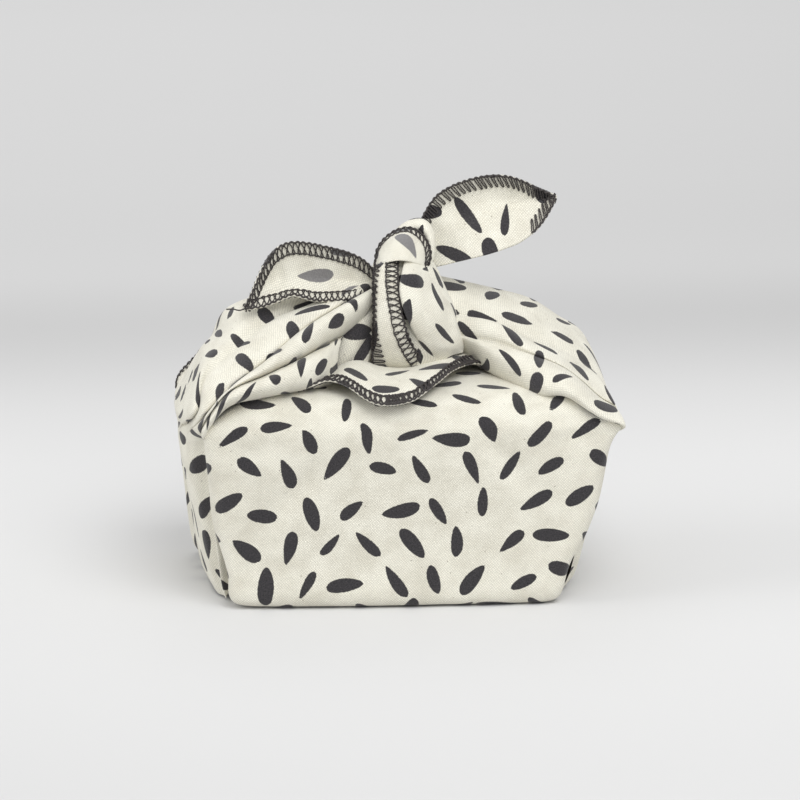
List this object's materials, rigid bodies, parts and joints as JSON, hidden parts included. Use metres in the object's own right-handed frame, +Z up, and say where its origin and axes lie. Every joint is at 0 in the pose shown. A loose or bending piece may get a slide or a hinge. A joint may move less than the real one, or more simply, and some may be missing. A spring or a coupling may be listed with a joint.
{
  "type": "furoshiki wrap",
  "caption": "Square printed cotton cloth wrapped round a tapered box and tied on top in a knot with two pointed ears, hems overlocked.",
  "frame": {"origin": "on the flat base, under the knot", "axes": "+X to the right along the bundle's long side, -Y out of the front, +Z up"},
  "size_m": [0.1777, 0.1123, 0.1677],
  "materials": {
    "printed_cotton": "unbleached plain cotton with charcoal seed print, matt"
  },
  "bodies": {
    "root": {"furoshiki_cloth": "printed_cotton"}
  },
  "joints": []
}
